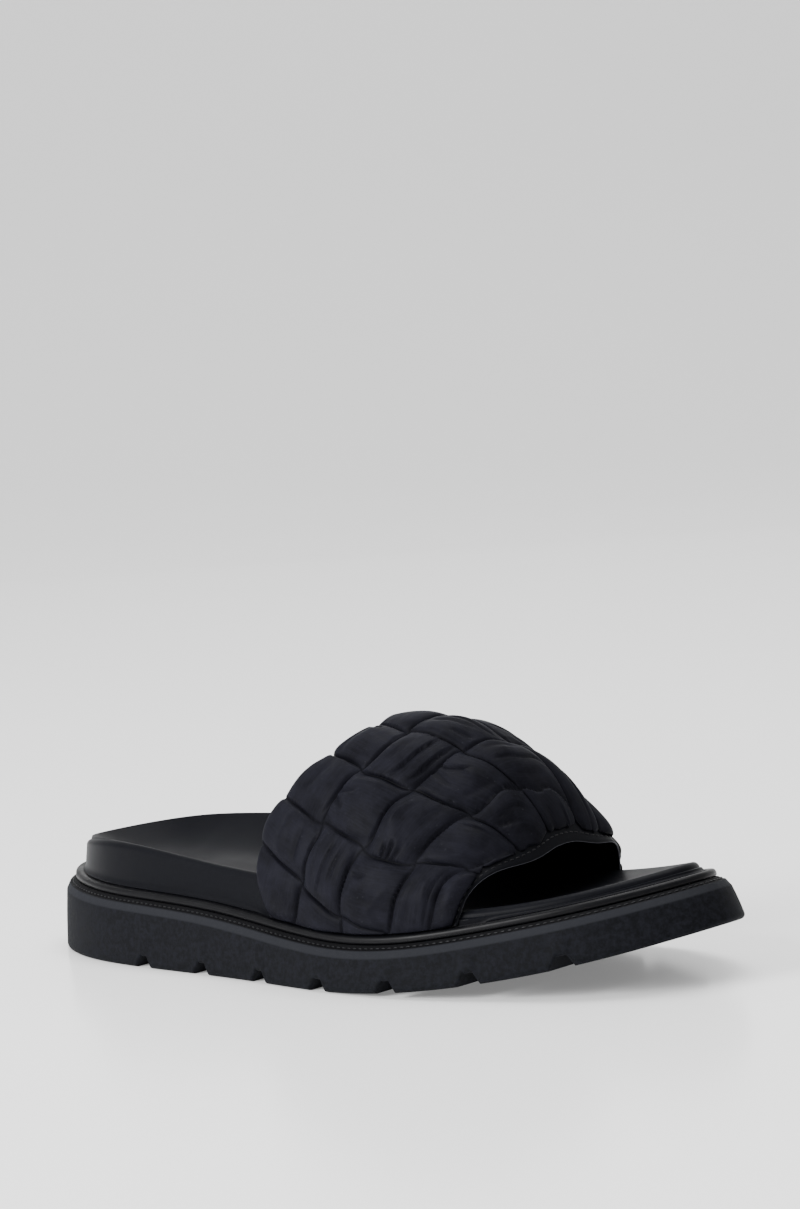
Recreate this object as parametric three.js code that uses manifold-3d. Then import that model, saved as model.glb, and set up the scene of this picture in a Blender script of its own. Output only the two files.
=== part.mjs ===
// Flat slide sandal for the right foot, with a band of padded straps woven over and under.
// Millimetres. +X runs from heel to toe, +Y towards the inner side of the foot, +Z up.
// The shoe stands on its sole with the origin below the middle of its bounding box.
//
// Every piece is first worked out on a flat sole: x from the back of the heel, y from the
// centre line and a height. Then sprung() lifts the toe end and tips the heights with it.

import * as THREE from 'three';
import { mergeVertices } from 'three/addons/utils/BufferGeometryUtils.js';
import Module from 'manifold-3d';

const wasm = await Module();
wasm.setup();

// Driving sizes of the sole
const SOLE_LENGTH = 262;
const BALL_WIDTH = 95;
const HEEL_WALL = 19.8;
const TOE_SPRING = 18.2;
const SPRING_START = 0.54;
const SOLE_EDGE_ROUND = 1.4;
const WALL_DRAFT = 1.2;
const BEVEL_WIDTH = 1.3;
const BEVEL_HEIGHT = 2.2;
const LEDGE_HEIGHT = 3.5;

// Lugs: grooves of a sawtooth section cut across the tread, heel block left whole
const HEEL_BLOCK = 60.7;
const LUG_PITCH = 27.4;
const GROOVE_COUNT = 7;
const GROOVE_MOUTH = 7.2;
const GROOVE_ROOF = 2.6;
const GROOVE_DEPTH = 3.6;
const GROOVE_REAR_LEAN = 2.9;

// Welt bead along the edge of the sole
const WELT_INSET = 4.5;
const WELT_WIDTH = 3.2;
const WELT_RISE = 2.3;

// Footbed
const FOOTBED_LEAN = 0.8;
const RIM_ROUND = 2;
const RIM_HEIGHT = 37.6;
const ARCH_RAISE = 7.4;
const ARCH_AT = 0.38;
const ARCH_REACH = 0.16;
const SPINE_FROM = 0.17;
const SPINE_TO = 0.84;

// Upper
const INSTEP_HEIGHT = 77.4;
const BASE_INSET = 4.8;
const BAND_WALL = 5;
const EDGE_ROUND = 2.2;
const EDGE_TURN = 0.3;
const SEAT_SHARE = 0.15;

// Weave of the upper: one set of straps runs round the foot, the other along it
const STRAP_PITCH = 25.3;
const STRAP_CROWDING = 2.1;
const STRAP_SLANT = 7.5;
const STRAP_PAD = 4;
const STRAP_WAVE = 1.5;
const STRAP_SHARE = 1.12;

// Where two curved pieces meet
const CLEARANCE = 0.3;

// How finely the curved faces are stepped
const OUTLINE_STEPS = 96;
const BAND_STEPS_ALONG = 34;
const BAND_STEPS_ROUND = 72;
const FRONT_CROWDING = 1.3;

// Outline of the sole. at: share of the length from the heel;
// lateral, medial: half widths to the outer and inner side, as shares of the ball width.
const OUTLINE = [
  { at: 0.03, lateral: 0.178, medial: 0.219 },
  { at: 0.08, lateral: 0.290, medial: 0.321 },
  { at: 0.15, lateral: 0.371, medial: 0.364 },
  { at: 0.28, lateral: 0.426, medial: 0.350 },
  { at: 0.42, lateral: 0.464, medial: 0.339 },
  { at: 0.56, lateral: 0.521, medial: 0.398 },
  { at: 0.68, lateral: 0.522, medial: 0.468 },
  { at: 0.80, lateral: 0.440, medial: 0.476 },
  { at: 0.90, lateral: 0.326, medial: 0.391 },
  { at: 0.96, lateral: 0.187, medial: 0.264 },
];
const HEEL_BACK = 0.02;
const TOE_TIP = 0.035;

// Heights along the sole. wall: edge of the outsole below its bevel, as a share of the heel's;
// rim and floor: edge and hollow of the footbed, as shares of the rim height.
const SIDE = [
  { at: 0, wall: 1, rim: 0.891, floor: 0.745 },
  { at: 0.15, wall: 0.909, rim: 1, floor: 0.740 },
  { at: 0.35, wall: 0.803, rim: 0.886, floor: 0.715 },
  { at: 0.50, wall: 0.606, rim: 0.798, floor: 0.610 },
  { at: 0.65, wall: 0.520, rim: 0.636, floor: 0.505 },
  { at: 0.80, wall: 0.555, rim: 0.545, floor: 0.480 },
  { at: 1, wall: 0.520, rim: 0.530, floor: 0.478 },
];

// Sections of the upper. at: share of the length; crown: height as a share of the instep's;
// ridge: place of the crown across the foot, as a share of the ball width;
// full: how boxy each side is, 0.55 being an ellipse; lean: how far each side tips inwards, degrees.
const SECTIONS = [
  { at: 0.427, crown: 0.947, ridge: -0.005, fullLateral: 0.484, fullMedial: 0.553,
    leanLateral: -3.8, leanMedial: 3.2 },
  { at: 0.515, crown: 0.977, ridge: 0.000, fullLateral: 0.491, fullMedial: 0.545,
    leanLateral: -3.5, leanMedial: 4.3 },
  { at: 0.592, crown: 1.000, ridge: 0.005, fullLateral: 0.498, fullMedial: 0.538,
    leanLateral: -3.2, leanMedial: 5.3 },
  { at: 0.668, crown: 0.976, ridge: 0.009, fullLateral: 0.504, fullMedial: 0.532,
    leanLateral: -3.0, leanMedial: 6.3 },
  { at: 0.725, crown: 0.870, ridge: 0.012, fullLateral: 0.509, fullMedial: 0.527,
    leanLateral: -2.8, leanMedial: 7.0 },
  { at: 0.767, crown: 0.724, ridge: 0.015, fullLateral: 0.512, fullMedial: 0.523,
    leanLateral: -2.6, leanMedial: 7.6 },
  { at: 0.802, crown: 0.422, ridge: 0.017, fullLateral: 0.515, fullMedial: 0.520,
    leanLateral: -2.5, leanMedial: 8.0 },
];

// Edges of the band. round: share of the girth from the outer side over the foot;
// rear, front: where the band starts and ends, as shares of the length.
const BAND = [
  { round: 0, rear: 0.460, front: 0.747 },
  { round: 0.25, rear: 0.458, front: 0.786 },
  { round: 0.5, rear: 0.540, front: 0.793 },
  { round: 0.75, rear: 0.498, front: 0.792 },
  { round: 1, rear: 0.485, front: 0.758 },
];

// Weave: where crossing (along, row) lies. from: place of crossing (0, 0), as a share of the
// length; the others give its share of the girth as start + perAlong * along + perRow * row
// + perBoth * along * row + perBend * along squared.
const CROSSING = {
  from: 0.4595, start: 0.0925, perAlong: -0.0944, perRow: 0.1065, perBoth: 0.0181, perBend: 0.0122,
};

// Smooth curve through values at knots: a natural cubic spline, or a periodic one
function spline(knots, values, period = 0) {
  const count = knots.length;
  const x = period ? [...knots, knots[0] + period] : knots;
  const y = period ? [...values, values[0]] : values;
  const step = x.slice(1).map((v, i) => v - x[i]);
  const rise = step.map((h, i) => (y[i + 1] - y[i]) / h);
  const rows = knots.map((_, i) => {
    const row = new Array(count + 1).fill(0);
    if (!period && (i === 0 || i === count - 1)) {
      row[i] = 1;
      return row;
    }
    const before = (i + count - 1) % count;
    row[before] += step[before];
    row[i] += 2 * (step[before] + step[i]);
    row[(i + 1) % count] += step[i];
    row[count] = 6 * (rise[i] - rise[before]);
    return row;
  });
  const bend = solved(rows);
  if (period) bend.push(bend[0]);
  return (at) => {
    const place = period
      ? ((at - x[0]) % period + period) % period + x[0]
      : Math.min(Math.max(at, x[0]), x[x.length - 1]);
    let i = 0;
    while (i < step.length - 1 && place > x[i + 1]) i += 1;
    const b = (place - x[i]) / step[i];
    const a = 1 - b;
    const curve = ((a ** 3 - a) * bend[i] + (b ** 3 - b) * bend[i + 1]) * step[i] ** 2 / 6;
    return a * y[i] + b * y[i + 1] + curve;
  };
}

// Solves the linear equations held in rows, with the right side as the last column
function solved(rows) {
  const count = rows.length;
  for (let pivot = 0; pivot < count; pivot += 1) {
    for (let other = 0; other < count; other += 1) {
      if (other === pivot) continue;
      const factor = rows[other][pivot] / rows[pivot][pivot];
      for (let k = pivot; k <= count; k += 1) rows[other][k] -= factor * rows[pivot][k];
    }
  }
  return rows.map((row, i) => row[count] / row[i]);
}

function column(table, name) {
  return spline(table.map((row) => row.at ?? row.round), table.map((row) => row[name]));
}

// The outline turns once as its angle goes from 0 at the heel, along the outer side,
// to half a turn at the toe tip, and back along the inner side.
const angleAt = (share) => Math.acos(1 - 2 * share);
const halfWidth = spline(
  [0, ...OUTLINE.map((row) => angleAt(row.at)), Math.PI,
    ...OUTLINE.map((row) => 2 * Math.PI - angleAt(row.at)).reverse()],
  [HEEL_BACK, ...OUTLINE.map((row) => -row.lateral), TOE_TIP,
    ...OUTLINE.map((row) => row.medial).reverse()],
  2 * Math.PI,
);

function onOutline(angle) {
  return new THREE.Vector2(SOLE_LENGTH * (1 - Math.cos(angle)) / 2, BALL_WIDTH * halfWidth(angle));
}

// Point of the outline moved straight in from the edge by inset
function insetPoint(angle, inset) {
  const reach = 1e-4;
  const along = onOutline(angle + reach).sub(onOutline(angle - reach)).normalize();
  return onOutline(angle).add(new THREE.Vector2(-along.y, along.x).multiplyScalar(inset));
}

// Place across the foot of the inset outline at a given x, on the side given by its sign
function insetAcross(x, side, inset) {
  const share = Math.min(Math.max(x / SOLE_LENGTH, 0), 1);
  let angle = side < 0 ? angleAt(share) : 2 * Math.PI - angleAt(share);
  for (let round = 0; round < 4; round += 1) {
    const miss = x - insetPoint(angle, inset).x;
    angle += miss / (Math.sin(angle) * SOLE_LENGTH / 2);
  }
  return insetPoint(angle, inset).y;
}

// The toe end of the flat shape is lifted, and heights stay square to the lifted sole
function sprung(x, y, height) {
  const reach = Math.max(x / SOLE_LENGTH - SPRING_START, 0) / (1 - SPRING_START);
  const lift = TOE_SPRING * reach ** 2;
  const slope = 2 * TOE_SPRING * reach / (SOLE_LENGTH * (1 - SPRING_START));
  const tip = Math.atan(slope);
  return new THREE.Vector3(x - height * Math.sin(tip), y, lift + height * Math.cos(tip));
}

const wallShare = column(SIDE, 'wall');
const rimShare = column(SIDE, 'rim');
const floorShare = column(SIDE, 'floor');
const wallTop = (x) => HEEL_WALL * wallShare(x / SOLE_LENGTH);
const ledgeTop = (x) => wallTop(x) + LEDGE_HEIGHT;
const weltBottom = (x) => ledgeTop(x) + CLEARANCE;
const weltTop = (x) => weltBottom(x) + WELT_RISE;
const bandSeat = (x) => weltTop(x) + CLEARANCE;
const FOOTBED_INSET = WELT_INSET + WELT_WIDTH + CLEARANCE;

// One closed run of points round the sole: inset and height may vary with the angle
function ring(insetOf, heightOf) {
  return Array.from({ length: OUTLINE_STEPS }, (_, k) => {
    const angle = 2 * Math.PI * k / OUTLINE_STEPS;
    const p = insetPoint(angle, insetOf(angle));
    return sprung(p.x, p.y, heightOf(p.x, angle));
  });
}

// Closed geometry from points and triangles
function geometryOf(points, triangles) {
  const geometry = new THREE.BufferGeometry().setFromPoints(points);
  geometry.setIndex(triangles);
  return geometry;
}

// Solid between rings stacked from the bottom up, or a tube when the last meets the first
function stacked(rings, tube = false) {
  const count = rings[0].length;
  const triangles = [];
  const quad = (a, b, c, d) => {
    if (a !== b && b !== c && c !== a) triangles.push(a, b, c);
    if (a !== c && c !== d && d !== a) triangles.push(a, c, d);
  };
  const layers = tube ? rings.length : rings.length - 1;
  for (let r = 0; r < layers; r += 1) {
    const low = r * count;
    const high = ((r + 1) % rings.length) * count;
    for (let k = 0; k < count; k += 1) {
      const next = (k + 1) % count;
      quad(low + k, low + next, high + next, high + k);
    }
  }
  if (!tube) {
    const top = (rings.length - 1) * count;
    for (let k = 0; k < count / 2; k += 1) {
      const across = (count - k) % count;
      quad(across, count - k - 1, k + 1, k);
      quad(top + k, top + k + 1, top + count - k - 1, top + across);
    }
  }
  return geometryOf(rings.flat(), triangles);
}

function toManifold(geometry) {
  const bare = new THREE.BufferGeometry();
  bare.setAttribute('position', geometry.getAttribute('position'));
  bare.setIndex(geometry.getIndex());
  const merged = mergeVertices(bare);
  return new wasm.Manifold(new wasm.Mesh({
    numProp: 3,
    vertProperties: new Float32Array(merged.getAttribute('position').array),
    triVerts: new Uint32Array(merged.getIndex().array),
  }));
}

function fromManifold(solid) {
  const mesh = solid.getMesh();
  const geometry = new THREE.BufferGeometry();
  geometry.setAttribute('position', new THREE.BufferAttribute(mesh.vertProperties, 3));
  geometry.setIndex(Array.from(mesh.triVerts));
  return geometry;
}

// A groove is a trapezoid in the side view, carried across the whole sole
function groove(centre) {
  const half = GROOVE_MOUTH / 2;
  const profile = [
    [centre - half, -GROOVE_DEPTH],
    [centre + half, -GROOVE_DEPTH],
    [centre + half, 0],
    [centre - half + GROOVE_REAR_LEAN + GROOVE_ROOF, GROOVE_DEPTH],
    [centre - half + GROOVE_REAR_LEAN, GROOVE_DEPTH],
    [centre - half, 0],
  ];
  const shape = new THREE.Shape(profile.map(([x, height]) => {
    const p = sprung(x, 0, height);
    return new THREE.Vector2(p.x, p.z);
  }));
  const cutter = new THREE.ExtrudeGeometry(shape, { depth: 2 * BALL_WIDTH, bevelEnabled: false });
  cutter.rotateX(Math.PI / 2);
  cutter.translate(0, BALL_WIDTH, 0);
  return cutter;
}

function outsole() {
  const block = stacked([
    ring(() => SOLE_EDGE_ROUND, () => 0),
    ring(() => 0.3 * SOLE_EDGE_ROUND, () => 0.3 * SOLE_EDGE_ROUND),
    ring(() => 0, () => SOLE_EDGE_ROUND),
    ring(() => WALL_DRAFT, (x) => wallTop(x)),
    ring(() => WALL_DRAFT + BEVEL_WIDTH, (x) => wallTop(x) + BEVEL_HEIGHT),
    ring(() => WELT_INSET, (x) => ledgeTop(x)),
  ]);
  let solid = toManifold(block);
  for (let k = 0; k < GROOVE_COUNT; k += 1) {
    const centre = HEEL_BLOCK + GROOVE_MOUTH / 2 + k * LUG_PITCH;
    solid = solid.subtract(toManifold(groove(centre)));
  }
  return fromManifold(solid);
}

// The welt is a bead with a rounded outer shoulder that runs all round the ledge
function welt() {
  const out = WELT_INSET;
  const mid = WELT_INSET + WELT_WIDTH / 2;
  const inside = WELT_INSET + WELT_WIDTH;
  return stacked([
    ring(() => inside, (x) => weltBottom(x)),
    ring(() => out, (x) => weltBottom(x)),
    ring(() => out, (x) => weltBottom(x) + 0.6 * WELT_RISE),
    ring(() => out + 0.2 * WELT_WIDTH, (x) => weltBottom(x) + 0.9 * WELT_RISE),
    ring(() => mid, (x) => weltTop(x)),
    ring(() => inside, (x) => weltTop(x) - 0.1 * WELT_RISE),
  ], true);
}

// Height of the footbed's rim on one side of the foot; the arch side is raised by a smooth hump
function rimAt(x, innerSide) {
  const share = x / SOLE_LENGTH;
  const hump = Math.exp(-(((share - ARCH_AT) / ARCH_REACH) ** 2));
  return RIM_HEIGHT * rimShare(share) + ARCH_RAISE * hump * innerSide;
}

// The rim round the heel and the toe passes smoothly from one side to the other
function rimTop(x, angle) {
  return rimAt(x, Math.min(Math.max(-3 * Math.sin(angle), 0), 1));
}

// Hollow of the footbed: a share of the way from the rim to the centre line of the foot
function hollowRing(share) {
  const inset = FOOTBED_INSET + FOOTBED_LEAN + RIM_ROUND;
  return Array.from({ length: OUTLINE_STEPS }, (_, k) => {
    const angle = 2 * Math.PI * k / OUTLINE_STEPS;
    const edge = insetPoint(angle, inset);
    const spineX = Math.min(Math.max(edge.x, SPINE_FROM * SOLE_LENGTH), SPINE_TO * SOLE_LENGTH);
    const spineY = (insetAcross(spineX, -1, inset) + insetAcross(spineX, 1, inset)) / 2;
    const x = edge.x + (spineX - edge.x) * share;
    const y = edge.y + (spineY - edge.y) * share;
    const floor = RIM_HEIGHT * floorShare(x / SOLE_LENGTH);
    return sprung(x, y, floor + (rimTop(edge.x, angle) - floor) * (1 - share) ** 2.4);
  });
}

function footbed() {
  const lean = FOOTBED_INSET + FOOTBED_LEAN;
  return stacked([
    ring(() => FOOTBED_INSET, (x) => ledgeTop(x) + CLEARANCE),
    ring(() => lean, (x, angle) => rimTop(x, angle) - RIM_ROUND),
    ring(() => lean + 0.3 * RIM_ROUND, (x, angle) => rimTop(x, angle) - 0.3 * RIM_ROUND),
    hollowRing(0),
    hollowRing(0.12),
    hollowRing(0.28),
    hollowRing(0.5),
    hollowRing(0.8),
  ]);
}

const sectionOf = Object.fromEntries(
  ['crown', 'ridge', 'fullLateral', 'fullMedial', 'leanLateral', 'leanMedial']
    .map((name) => [name, column(SECTIONS, name)]),
);
const rearShare = column(BAND, 'rear');
const frontShare = column(BAND, 'front');

// Half of the outer face in a section: a cubic from the seat, up the side, to the level crown
function outerHalf(x, side, full, lean, crown) {
  const seat = new THREE.Vector2(insetAcross(x, side, BASE_INSET), bandSeat(x));
  return [riseToCrown(seat, side, full, lean, crown)];
}

// Half of the lining in a section: close along the footbed's wall, then a cubic to the crown
function liningHalf(x, side, full, lean, crown) {
  const wall = FOOTBED_INSET - CLEARANCE;
  const seat = new THREE.Vector2(insetAcross(x, side, wall), bandSeat(x));
  const rim = new THREE.Vector2(insetAcross(x, side, wall + FOOTBED_LEAN), rimAt(x, side > 0 ? 1 : 0));
  return [[seat, rim], riseToCrown(rim, side, full, lean, crown)];
}

function riseToCrown(start, side, full, lean, crown) {
  const rise = full * (crown.y - start.y);
  const tip = -side * Math.tan(THREE.MathUtils.degToRad(lean)) * rise;
  return [
    start,
    new THREE.Vector2(start.x + tip, start.y + rise),
    new THREE.Vector2(crown.x + full * (start.x - crown.x), crown.y),
    crown,
  ];
}

// Whole section at x, from the outer side over the crown to the inner side
function section(x, half, depth) {
  const at = x / SOLE_LENGTH;
  const value = (name) => sectionOf[name](at);
  const crown = new THREE.Vector2(
    BALL_WIDTH * value('ridge'),
    INSTEP_HEIGHT * value('crown') - depth,
  );
  const runs = [
    ...half(x, -1, value('fullLateral'), value('leanLateral'), crown),
    ...half(x, 1, value('fullMedial'), value('leanMedial'), crown).reverse()
      .map((run) => run.reverse()),
  ];
  const path = new THREE.CurvePath();
  for (const run of runs) {
    const curve = run.length === 2 ? new THREE.LineCurve(...run) : new THREE.CubicBezierCurve(...run);
    curve.arcLengthDivisions = 40;
    path.add(curve);
  }
  return path;
}

// Crossing numbers (along, row) of the weave at a point of the band, by Newton's method
function crossingAt(x, round) {
  const c = CROSSING;
  let row = (round - c.start) / c.perRow;
  let along = (x - c.from * SOLE_LENGTH - STRAP_SLANT * row) / STRAP_PITCH;
  for (let turn = 0; turn < 8; turn += 1) {
    const missX = c.from * SOLE_LENGTH + STRAP_PITCH * along + STRAP_SLANT * row
      - STRAP_CROWDING * along ** 2 - x;
    const missRound = c.start + c.perAlong * along + c.perRow * row + c.perBoth * along * row
      + c.perBend * along ** 2 - round;
    const xAlong = STRAP_PITCH - 2 * STRAP_CROWDING * along;
    const roundAlong = c.perAlong + c.perBoth * row + 2 * c.perBend * along;
    const roundRow = c.perRow + c.perBoth * along;
    const area = xAlong * roundRow - STRAP_SLANT * roundAlong;
    along -= (missX * roundRow - missRound * STRAP_SLANT) / area;
    row -= (missRound * xAlong - missX * roundAlong) / area;
  }
  return [along, row];
}

// Height of the weave over its backing: each strap is a pad that waves over and under,
// and the higher of the two straps at a point is the one that shows
function weaveHeight(along, row) {
  const pad = (offset) => STRAP_PAD * Math.sqrt(Math.max(1 - (2 * offset / STRAP_SHARE) ** 2, 0));
  const nearAlong = Math.round(along);
  const nearRow = Math.round(row);
  const roundStrap = pad(along - nearAlong) + STRAP_WAVE * Math.cos(Math.PI * (row + nearAlong));
  const longStrap = pad(row - nearRow) - STRAP_WAVE * Math.cos(Math.PI * (along + nearRow));
  return Math.max(roundStrap, longStrap);
}

// Place of a share (along, round) of the band; equal shares crowd towards the steep front
function bandX(step, round) {
  const along = 1 - (1 - step) ** FRONT_CROWDING;
  const rear = SOLE_LENGTH * rearShare(round);
  const front = SOLE_LENGTH * frontShare(round);
  return { x: rear + (front - rear) * along, fromEdge: Math.min(along, 1 - along) * (front - rear) };
}

// Outer face of the band with its straps raised; its relief is shallow at the thin seat
function outerPoint(along, round) {
  const { x, fromEdge } = bandX(along, round);
  const path = section(x, outerHalf, 0);
  const reach = 1e-3;
  const before = path.getPoint(Math.max(round - reach, 0));
  const after = path.getPoint(Math.min(round + reach, 1));
  const inward = new THREE.Vector2(after.y - before.y, before.x - after.x).normalize();
  const seatWall = FOOTBED_INSET - CLEARANCE - BASE_INSET;
  const growth = Math.min(Math.min(round, 1 - round) / SEAT_SHARE, 1);
  const wall = seatWall + (BAND_WALL - seatWall) * growth;
  const [strap, row] = crossingAt(x, round);
  const sink = (STRAP_PAD - weaveHeight(strap, row)) * wall / BAND_WALL;
  const nearEdge = Math.max(1 - fromEdge / EDGE_ROUND, 0);
  const turned = EDGE_TURN * wall * (1 - Math.sqrt(1 - nearEdge ** 2));
  const p = path.getPoint(round).addScaledVector(inward, sink + turned);
  return sprung(x, p.x, Math.max(p.y, bandSeat(x)));
}

function liningPoint(along, round) {
  const { x } = bandX(along, round);
  const p = section(x, liningHalf, BAND_WALL).getPoint(round);
  return sprung(x, p.x, p.y);
}

// The band is one open arch: a fine outer face, a lining face with half as many steps,
// and edges that join every second outer point to a point of the lining
function upper() {
  const points = [];
  const triangles = [];
  const outer = [];
  const lining = [];
  for (let i = 0; i <= BAND_STEPS_ALONG; i += 1) {
    outer.push([]);
    for (let j = 0; j <= BAND_STEPS_ROUND; j += 1) {
      outer[i].push(points.length);
      points.push(outerPoint(i / BAND_STEPS_ALONG, j / BAND_STEPS_ROUND));
    }
  }
  for (let i = 0; i <= BAND_STEPS_ALONG; i += 2) {
    lining.push([]);
    for (let j = 0; j <= BAND_STEPS_ROUND; j += 2) {
      lining[i / 2].push(points.length);
      points.push(liningPoint(i / BAND_STEPS_ALONG, j / BAND_STEPS_ROUND));
    }
  }
  const face = (net, flip) => {
    for (let i = 0; i < net.length - 1; i += 1) {
      for (let j = 0; j < net[0].length - 1; j += 1) {
        const [a, b, c, d] = [net[i][j], net[i + 1][j], net[i + 1][j + 1], net[i][j + 1]];
        if (flip) triangles.push(a, c, b, a, d, c);
        else triangles.push(a, b, c, a, c, d);
      }
    }
  };
  const border = (net) => [
    ...net.map((line) => line[0]),
    ...net[net.length - 1].slice(1),
    ...net.map((line) => line[line.length - 1]).reverse().slice(1),
    ...net[0].slice(1, -1).reverse(),
  ];
  face(outer, false);
  face(lining, true);
  const rim = border(outer);
  const hem = border(lining);
  for (let k = 0; k < hem.length; k += 1) {
    const a = hem[k];
    const b = hem[(k + 1) % hem.length];
    const [p, q, r] = [rim[2 * k], rim[2 * k + 1], rim[(2 * k + 2) % rim.length]];
    triangles.push(p, a, q, q, a, b, q, b, r);
  }
  return geometryOf(points, triangles);
}

const FINISH = {
  foam: new THREE.MeshStandardMaterial({ color: '#1b1c1e', roughness: 0.75, metalness: 0 }),
  bead: new THREE.MeshStandardMaterial({ color: '#151516', roughness: 0.35, metalness: 0 }),
  leather: new THREE.MeshStandardMaterial({ color: '#1a1a1b', roughness: 0.45, metalness: 0 }),
  satin: new THREE.MeshStandardMaterial({ color: '#17181c', roughness: 0.55, metalness: 0 }),
};

function piece(name, geometry, material) {
  geometry.computeVertexNormals();
  const mesh = new THREE.Mesh(geometry, material);
  mesh.name = name;
  return mesh;
}

const shoe = new THREE.Group();
shoe.add(
  piece('outsole', outsole(), FINISH.foam),
  piece('welt', welt(), FINISH.bead),
  piece('footbed', footbed(), FINISH.leather),
  piece('upper', upper(), FINISH.satin),
);

const box = new THREE.Box3().setFromObject(shoe);
const middle = box.getCenter(new THREE.Vector3());
shoe.position.set(-middle.x, -middle.y, -box.min.z);

export default shoe;
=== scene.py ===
"""Looks of a flat slide sandal for the right foot: lugged foam sole, stitched welt, moulded
footbed and a band of padded satin straps woven over and under.

Shapes are worked out in millimetres on a flat sole: x from the back of the heel, y from the
centre line towards the inner side, and a height. sprung() then lifts the toe end, and
placed() moves the points into the frame of the CAD model, in metres.
"""

import math

import bmesh
import bpy
import numpy as np
from mathutils import Matrix, Vector


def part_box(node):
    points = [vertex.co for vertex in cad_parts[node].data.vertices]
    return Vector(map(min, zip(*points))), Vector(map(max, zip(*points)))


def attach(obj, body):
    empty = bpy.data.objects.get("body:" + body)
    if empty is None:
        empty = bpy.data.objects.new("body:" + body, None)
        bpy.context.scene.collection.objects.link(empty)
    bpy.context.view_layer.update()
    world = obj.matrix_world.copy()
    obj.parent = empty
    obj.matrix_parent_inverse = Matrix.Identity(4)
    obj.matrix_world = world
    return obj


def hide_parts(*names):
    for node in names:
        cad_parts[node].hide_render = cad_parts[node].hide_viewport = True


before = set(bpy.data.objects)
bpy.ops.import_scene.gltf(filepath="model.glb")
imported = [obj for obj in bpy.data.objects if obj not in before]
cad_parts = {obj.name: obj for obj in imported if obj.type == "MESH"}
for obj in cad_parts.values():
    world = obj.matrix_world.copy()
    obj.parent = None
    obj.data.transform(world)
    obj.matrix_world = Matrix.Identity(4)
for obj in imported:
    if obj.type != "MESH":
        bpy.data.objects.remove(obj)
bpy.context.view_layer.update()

# Sizes of the sole, in millimetres
SOLE_LENGTH = 262.0
BALL_WIDTH = 95.0
HEEL_WALL = 19.8
TOE_SPRING = 18.2
SPRING_START = 0.54
SOLE_EDGE_ROUND = 1.4
WALL_DRAFT = 1.2
BEVEL_WIDTH = 1.3
BEVEL_HEIGHT = 2.2
LEDGE_HEIGHT = 3.5
STITCH_CHANNEL = 0.35

# Lugs under the sole
HEEL_BLOCK = 60.7
LUG_PITCH = 27.4
GROOVE_COUNT = 7
GROOVE_MOUTH = 7.2
GROOVE_ROOF = 2.6
GROOVE_DEPTH = 3.6
GROOVE_REAR_LEAN = 2.9

# Welt bead and footbed
WELT_INSET = 4.5
WELT_WIDTH = 3.2
WELT_RISE = 2.3
CLEARANCE = 0.3
FOOTBED_INSET = WELT_INSET + WELT_WIDTH + CLEARANCE
FOOTBED_LEAN = 0.8
FILLET_HEIGHT = 2.6
FILLET_REACH = 1.0
RIM_ROUND = 2.0
RIM_HEIGHT = 37.6
ARCH_RAISE = 7.4
ARCH_AT = 0.38
ARCH_REACH = 0.16
SPINE_FROM = 0.17
SPINE_TO = 0.84

# Upper
INSTEP_HEIGHT = 77.4
BASE_INSET = 4.8
BAND_WALL = 5.0
SEAT_WALL = FOOTBED_INSET - CLEARANCE - BASE_INSET
SEAT_SHARE = 0.15
LINING = 0.8
LINING_PROUD = 0.3
LINING_SHORT = 1.6

# Straps of the weave
STRAP_PITCH = 25.3
STRAP_CROWDING = 2.1
STRAP_SLANT = 7.5
STRAP_PAD = 4.0
STRAP_WAVE = 1.5
STRAP_SHARE = 1.12

# Outline: share of the length from the heel, and the half widths to the outer and the
# inner side as shares of the ball width
OUTLINE = np.array([
    # at, lateral, medial
    [0.03, 0.178, 0.219],
    [0.08, 0.290, 0.321],
    [0.15, 0.371, 0.364],
    [0.28, 0.426, 0.350],
    [0.42, 0.464, 0.339],
    [0.56, 0.521, 0.398],
    [0.68, 0.522, 0.468],
    [0.80, 0.440, 0.476],
    [0.90, 0.326, 0.391],
    [0.96, 0.187, 0.264],
])
HEEL_BACK = 0.02
TOE_TIP = 0.035

# Heights along the sole: edge of the outsole as a share of the heel's, then rim and floor
# of the footbed as shares of the rim height
SIDE = np.array([
    # at, wall, rim, floor
    [0.00, 1.000, 0.891, 0.745],
    [0.15, 0.909, 1.000, 0.740],
    [0.35, 0.803, 0.886, 0.715],
    [0.50, 0.606, 0.798, 0.610],
    [0.65, 0.520, 0.636, 0.505],
    [0.80, 0.555, 0.545, 0.480],
    [1.00, 0.520, 0.530, 0.478],
])

# Sections of the upper, with its crown, ridge, fullness and lean on each side
SECTIONS = np.array([
    # at, crown, ridge, full lateral, full medial, lean lateral, lean medial
    [0.427, 0.947, -0.005, 0.484, 0.553, -3.8, 3.2],
    [0.515, 0.977, 0.000, 0.491, 0.545, -3.5, 4.3],
    [0.592, 1.000, 0.005, 0.498, 0.538, -3.2, 5.3],
    [0.668, 0.976, 0.009, 0.404, 0.555, -3.0, 11.8],
    [0.725, 0.872, 0.012, 0.324, 0.569, -2.8, 17.1],
    [0.767, 0.703, 0.015, 0.265, 0.579, -2.6, 21.1],
    [0.802, 0.384, 0.017, 0.219, 0.587, -2.5, 24.2],
])

# Rear and front edge of the band over its girth, as shares of the length
BAND_REAR = np.array([
    # round, rear
    [0.00, 0.460],
    [0.25, 0.458],
    [0.50, 0.540],
    [0.75, 0.498],
    [1.00, 0.485],
])
BAND_FRONT = np.array([
    # round, front
    [0.00, 0.747],
    [0.20, 0.781],
    [0.40, 0.791],
    [0.60, 0.790],
    [0.80, 0.788],
    [1.00, 0.758],
])

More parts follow.
